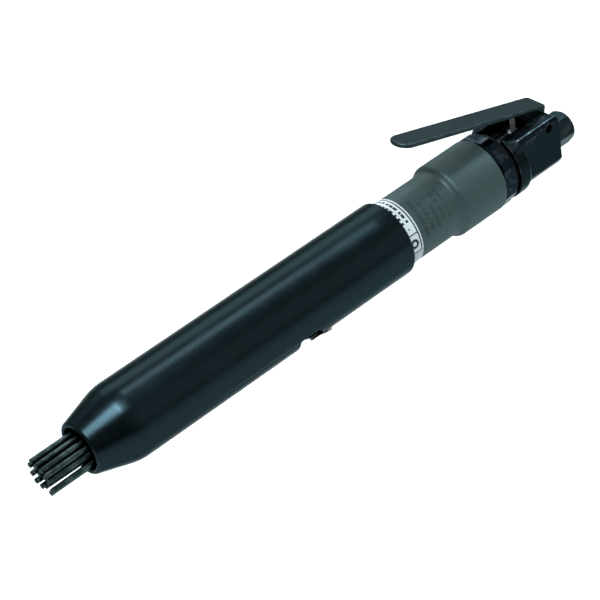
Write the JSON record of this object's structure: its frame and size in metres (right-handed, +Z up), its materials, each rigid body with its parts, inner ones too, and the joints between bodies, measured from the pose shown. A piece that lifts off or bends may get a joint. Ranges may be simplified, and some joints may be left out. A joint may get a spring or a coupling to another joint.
{
  "type": "pneumatic needle scaler",
  "caption": "Inline air-powered needle scaler: a black tube with a tapered nose holding a bundle of steel needles, a grey barrel and a rear head with a long squeeze lever.",
  "frame": {"origin": "centre of the underside of the tool's bounding box, on the ground plane under the tube", "axes": "+X along the tool axis from the air inlet to the needle tips, +Z up to the throttle lever, +Y to the tool's left side"},
  "size_m": [0.3818, 0.0446, 0.077],
  "materials": {
    "black_oxide": "satin black oxide",
    "blackened_latch": "black oxide",
    "bright_steel": "ground",
    "spring_steel": "drawn wire",
    "tool_steel": "machined",
    "grey_steel": "satin grey phosphate",
    "blued_steel": "satin blued",
    "needle_steel": "oiled, hardened",
    "lever_black": "satin black",
    "strainer_mesh": "woven wire",
    "rubber": "matt",
    "label": "printed film, no wording"
  },
  "bodies": {
    "housing": {"barrel": "grey_steel", "label_band": "label", "barrel_oring": "rubber", "anvil_bush": "bright_steel", "anvil_buffer": "rubber", "valve_seat": "tool_steel", "valve_box": "tool_steel", "valve_dowel": "bright_steel", "lock_collar": "blued_steel", "gasket_ring": "rubber", "backhead": "blued_steel", "spigot_oring": "rubber", "inlet_bushing": "black_oxide", "inlet_strainer": "strainer_mesh", "lever_pivot_pin": "tool_steel", "throttle_bush": "tool_steel", "throttle_spring": "spring_steel", "valve_cap": "black_oxide", "cap_oring": "rubber"},
    "front_tube": {"needle_tube": "black_oxide", "latch_pin": "bright_steel", "latch_spring": "spring_steel", "needle_spring": "spring_steel"},
    "latch": {"tube_latch": "blackened_latch"},
    "needle_pack": {"needle_holder": "tool_steel", "needle_01": "needle_steel", "needle_02": "needle_steel", "needle_03": "needle_steel", "needle_04": "needle_steel", "needle_05": "needle_steel", "needle_06": "needle_steel", "needle_07": "needle_steel", "needle_08": "needle_steel", "needle_09": "needle_steel", "needle_10": "needle_steel", "needle_11": "needle_steel", "needle_12": "needle_steel", "needle_13": "needle_steel", "needle_14": "needle_steel", "needle_15": "needle_steel", "needle_16": "needle_steel", "needle_17": "needle_steel", "needle_18": "needle_steel", "needle_19": "needle_steel"},
    "striker": {"anvil": "tool_steel"},
    "hammer": {"piston": "bright_steel"},
    "main_valve": {"valve_disc": "bright_steel"},
    "lever": {"throttle_lever": "lever_black"},
    "throttle": {"throttle_valve": "bright_steel"}
  },
  "joints": [
    {"name": "tube_adjust", "type": "slide", "parent": "housing", "child": "front_tube", "axis": [1, 0, 0], "range_m": [-0.012, 0], "deforming": ["needle_spring"]},
    {"name": "latch_lift", "type": "hinge", "parent": "front_tube", "child": "latch", "pos_m": [0.0116, 0.01521, 0.00622], "axis": [0, 0.7254, 0.6884], "range_deg": [0, 25], "stiffness_Nm_per_rad": 0.03, "springref_deg": -34.38},
    {"name": "needle_stroke", "type": "slide", "parent": "housing", "child": "needle_pack", "axis": [1, 0, 0], "range_m": [0, 0.008], "stiffness_N_per_m": 900, "springref_m": -0.03, "deforming": ["needle_spring"]},
    {"name": "striker_stroke", "type": "slide", "parent": "housing", "child": "striker", "axis": [1, 0, 0], "range_m": [0, 0.008]},
    {"name": "hammer_stroke", "type": "slide", "parent": "housing", "child": "hammer", "axis": [1, 0, 0], "range_m": [0, 0.0286]},
    {"name": "valve_flutter", "type": "slide", "parent": "housing", "child": "main_valve", "axis": [1, 0, 0], "range_m": [0, 0.0019]},
    {"name": "lever_press", "type": "hinge", "parent": "housing", "child": "lever", "pos_m": [-0.16235, 0, 0.03745], "axis": [0, 1, 0], "range_deg": [0, 14], "stiffness_Nm_per_rad": 0.8, "springref_deg": -17.19},
    {"name": "throttle_open", "type": "slide", "parent": "housing", "child": "throttle", "axis": [0, 0, -1], "range_m": [0, 0.00325], "deforming": ["throttle_spring"]}
  ],
  "couplings": [
    {"joint": "striker_stroke", "follows": "needle_stroke", "ratio": 1},
    {"joint": "throttle_open", "follows": "lever_press", "m_per_rad": 0.01274}
  ]
}
